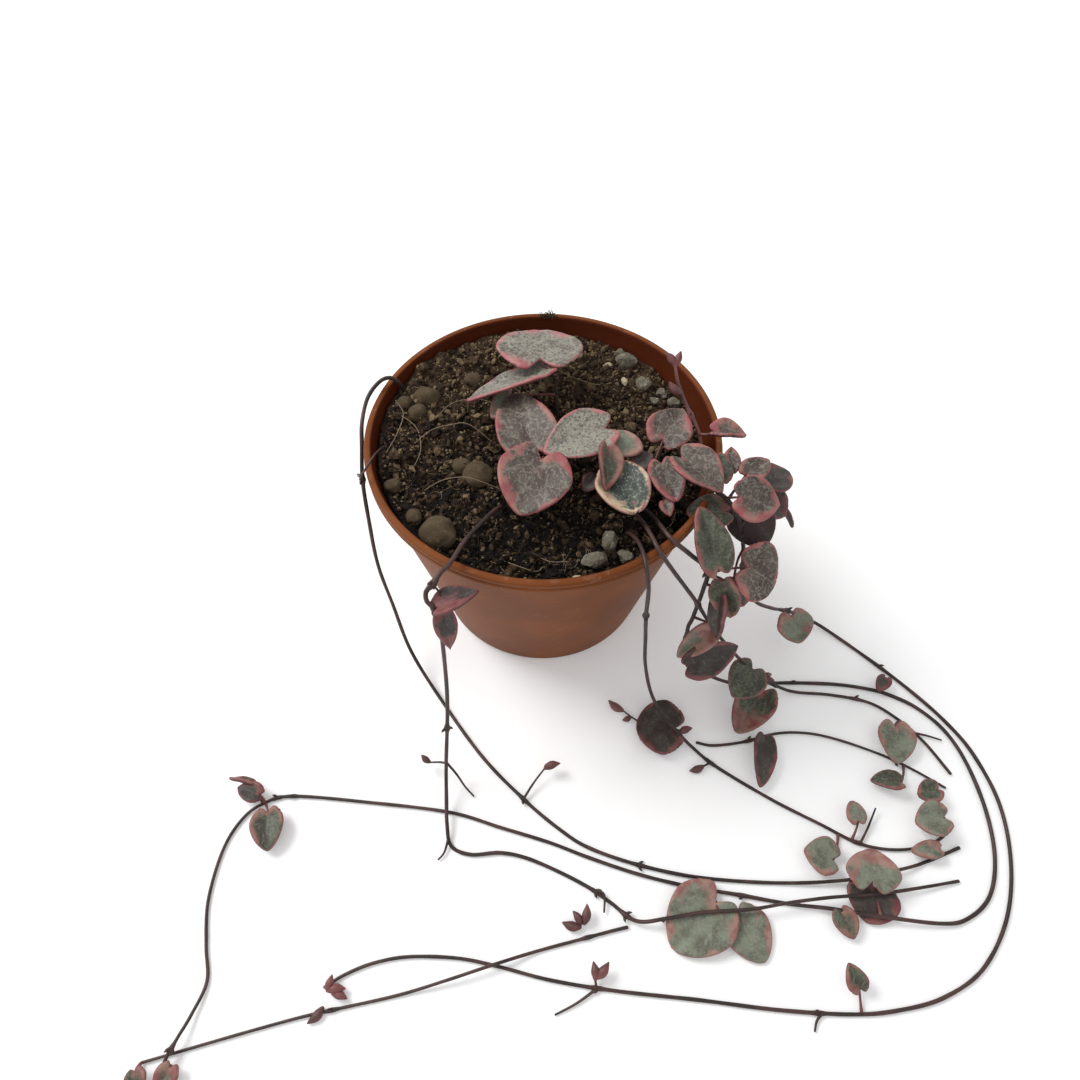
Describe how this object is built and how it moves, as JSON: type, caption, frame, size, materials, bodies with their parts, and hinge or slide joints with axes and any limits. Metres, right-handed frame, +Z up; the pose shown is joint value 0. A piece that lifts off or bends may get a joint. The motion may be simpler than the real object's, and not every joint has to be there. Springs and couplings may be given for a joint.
{
  "type": "potted string of hearts",
  "caption": "Trailing string-of-hearts houseplant in a round plastic nursery pot, with variegated heart-shaped leaves on wiry stems that hang over the rim and lie around the pot.",
  "frame": {"origin": "centre of the underside of the pot, on the surface that it stands on", "axes": "+Z up along the pot's axis; +X towards the side where most stems hang down; -Y towards the viewer, where the stems trail"},
  "size_m": [0.2511, 0.2087, 0.0963],
  "materials": {
    "pot_plastic": "satin moulded terracotta-coloured polypropylene, lightly scuffed",
    "potting_soil": "dark peat mix with bark fibre and pale grit",
    "stone_clay": "fired clay pebble, dull brown, dusty with soil",
    "stone_grey": "rough grey pumice pebble",
    "stem_skin": "thin wiry stem, dark brown to reddish, slightly waxy",
    "leaf_silver": "fleshy leaf, silver-grey marbling, uneven pink margin, waxy",
    "leaf_plum": "fleshy leaf, plum with silver veining, pink margin, waxy",
    "leaf_green": "fleshy leaf, dark green with grey marbling, rose margin, waxy",
    "leaf_cream": "fleshy leaf, cream and green with pink margin, waxy"
  },
  "bodies": {
    "root": {"leaf_crown_back": "leaf_silver", "leaf_crown_cream": "leaf_cream", "leaf_crown_edge_on": "leaf_silver", "leaf_crown_folded": "leaf_green", "leaf_crown_heart": "leaf_plum", "leaf_crown_right": "leaf_silver", "leaf_crown_round": "leaf_plum", "leaf_crown_small": "leaf_green", "leaf_end_left": "leaf_green", "leaf_fall_green": "leaf_green", "leaf_fall_low": "leaf_plum", "leaf_fall_right": "leaf_plum", "leaf_fall_top": "leaf_plum", "leaf_fall_under": "leaf_plum", "leaf_floor_crescent": "leaf_green", "leaf_floor_cup": "leaf_green", "leaf_floor_edge": "leaf_green", "leaf_floor_half": "leaf_green", "leaf_floor_hanging": "leaf_plum", "leaf_floor_kidney": "leaf_plum", "leaf_floor_large": "leaf_green", "leaf_floor_lower": "leaf_plum", "leaf_floor_pale": "leaf_green", "leaf_floor_pointed": "leaf_green", "leaf_floor_rose": "leaf_green", "leaf_floor_round": "leaf_green", "leaf_floor_small": "leaf_green", "leaf_floor_tall": "leaf_green", "leaf_floor_upper": "leaf_green", "leaf_front_hanging": "leaf_plum", "leaf_front_top": "leaf_plum", "leaf_hang_dark": "leaf_plum", "leaf_hang_left": "leaf_green", "leaf_hang_right": "leaf_plum", "leaf_hang_upper": "leaf_green", "leaf_rim_dark": "leaf_plum", "leaf_rim_folded": "leaf_plum", "leaf_rim_outer": "leaf_plum", "leaf_rim_silver": "leaf_plum", "pot": "pot_plastic", "soil": "potting_soil", "stem_crown_back": "stem_skin", "stem_crown_middle": "stem_skin", "stem_crown_right": "stem_skin", "stem_front": "stem_skin", "stem_front_fork": "stem_skin", "stem_inner_loop": "stem_skin", "stem_left": "stem_skin", "stem_outer_loop": "stem_skin", "stem_right": "stem_skin", "stem_right_branch": "stem_skin", "stem_right_low": "stem_skin", "stem_upright": "stem_skin", "stone_clay_back": "stone_clay", "stone_clay_large": "stone_clay", "stone_clay_middle": "stone_clay", "stone_grey_back": "stone_grey", "stone_grey_corner": "stone_grey", "stone_grey_front": "stone_grey", "stone_grey_tall": "stone_grey"}
  },
  "joints": []
}
